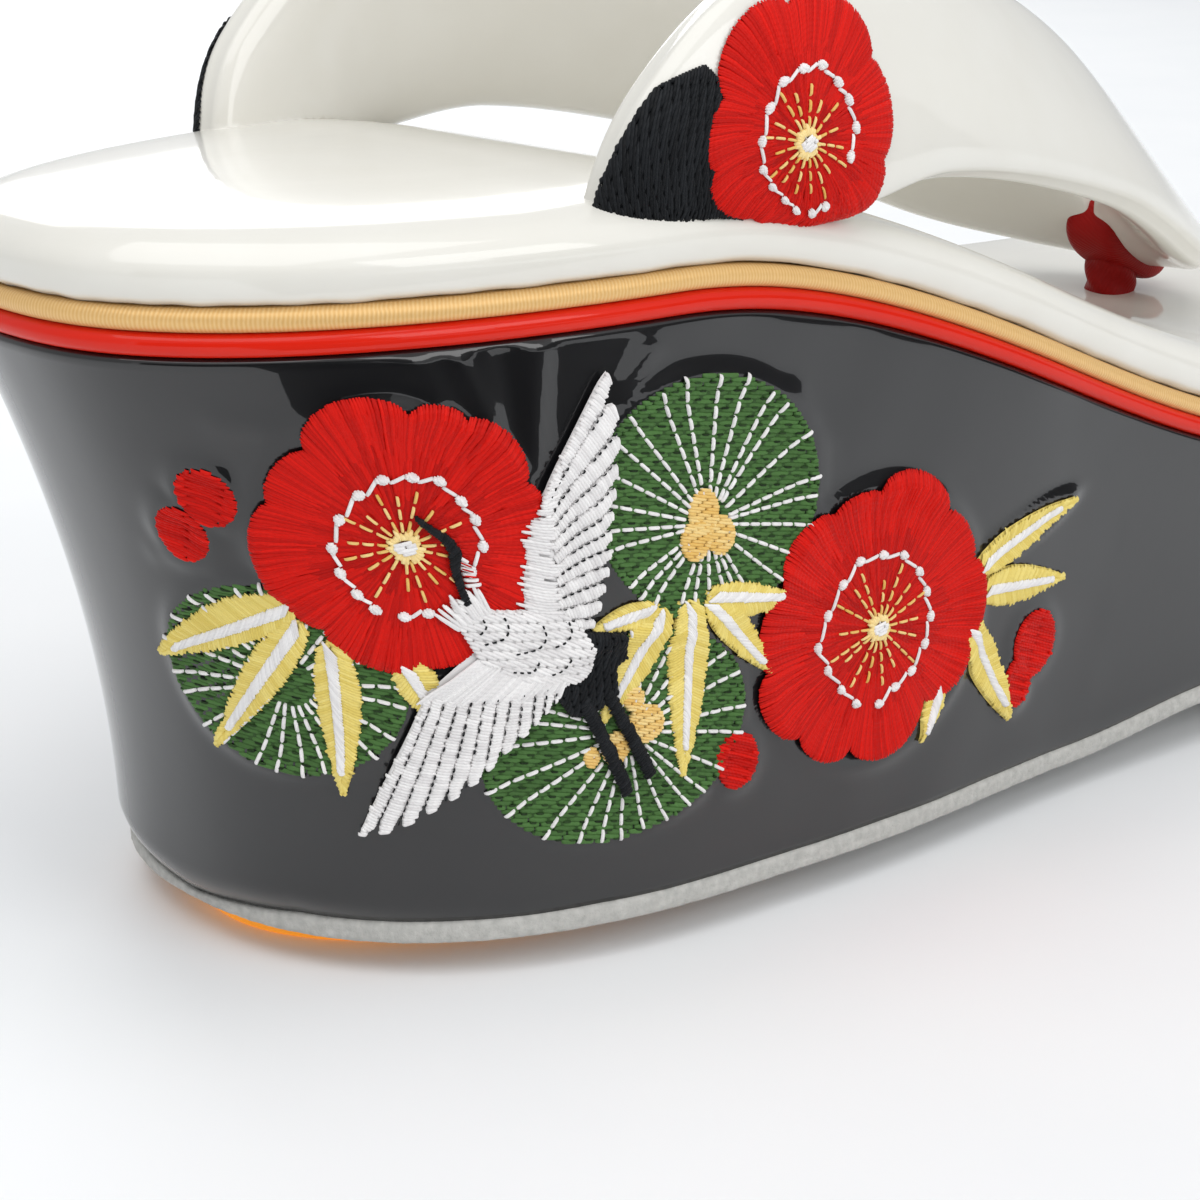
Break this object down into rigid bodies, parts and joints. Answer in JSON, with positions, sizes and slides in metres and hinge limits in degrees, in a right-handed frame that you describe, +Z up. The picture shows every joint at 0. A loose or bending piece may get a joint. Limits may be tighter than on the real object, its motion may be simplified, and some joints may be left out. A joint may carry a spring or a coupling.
{
  "type": "zori sandal",
  "caption": "Formal thick-soled zori sandal with a wedge platform, coloured edge layers, padded footbed, V strap and toe post; embroidered on its outer side.",
  "frame": {"origin": "on the floor, under the middle of the sandal's length and width", "axes": "+X from the heel to the toe, +Y to the wearer's left, +Z up"},
  "size_m": [0.2318, 0.0896, 0.0999],
  "materials": {
    "heel_rubber": "translucent amber rubber, matt underside",
    "sole_leather": "grey split leather with a brushed cut edge",
    "black_patent": "black patent leather, glossy and slightly orange-peeled",
    "red_patent": "red patent leather, glossy",
    "gold_leather": "gold foiled leather with fine cross ribs",
    "cream_patent": "cream patent leather, glossy, padded",
    "red_cord": "red twisted silk over a cotton core",
    "embroidery_thread": "lustrous rayon embroidery thread in red, white, green, gold, yellow and black"
  },
  "bodies": {
    "root": {"heel_pad": "heel_rubber", "outsole": "sole_leather", "platform": "black_patent", "red_layer": "red_patent", "gold_layer": "gold_leather", "footbed": "cream_patent", "strap": "cream_patent", "toe_post": "red_cord"}
  },
  "joints": []
}
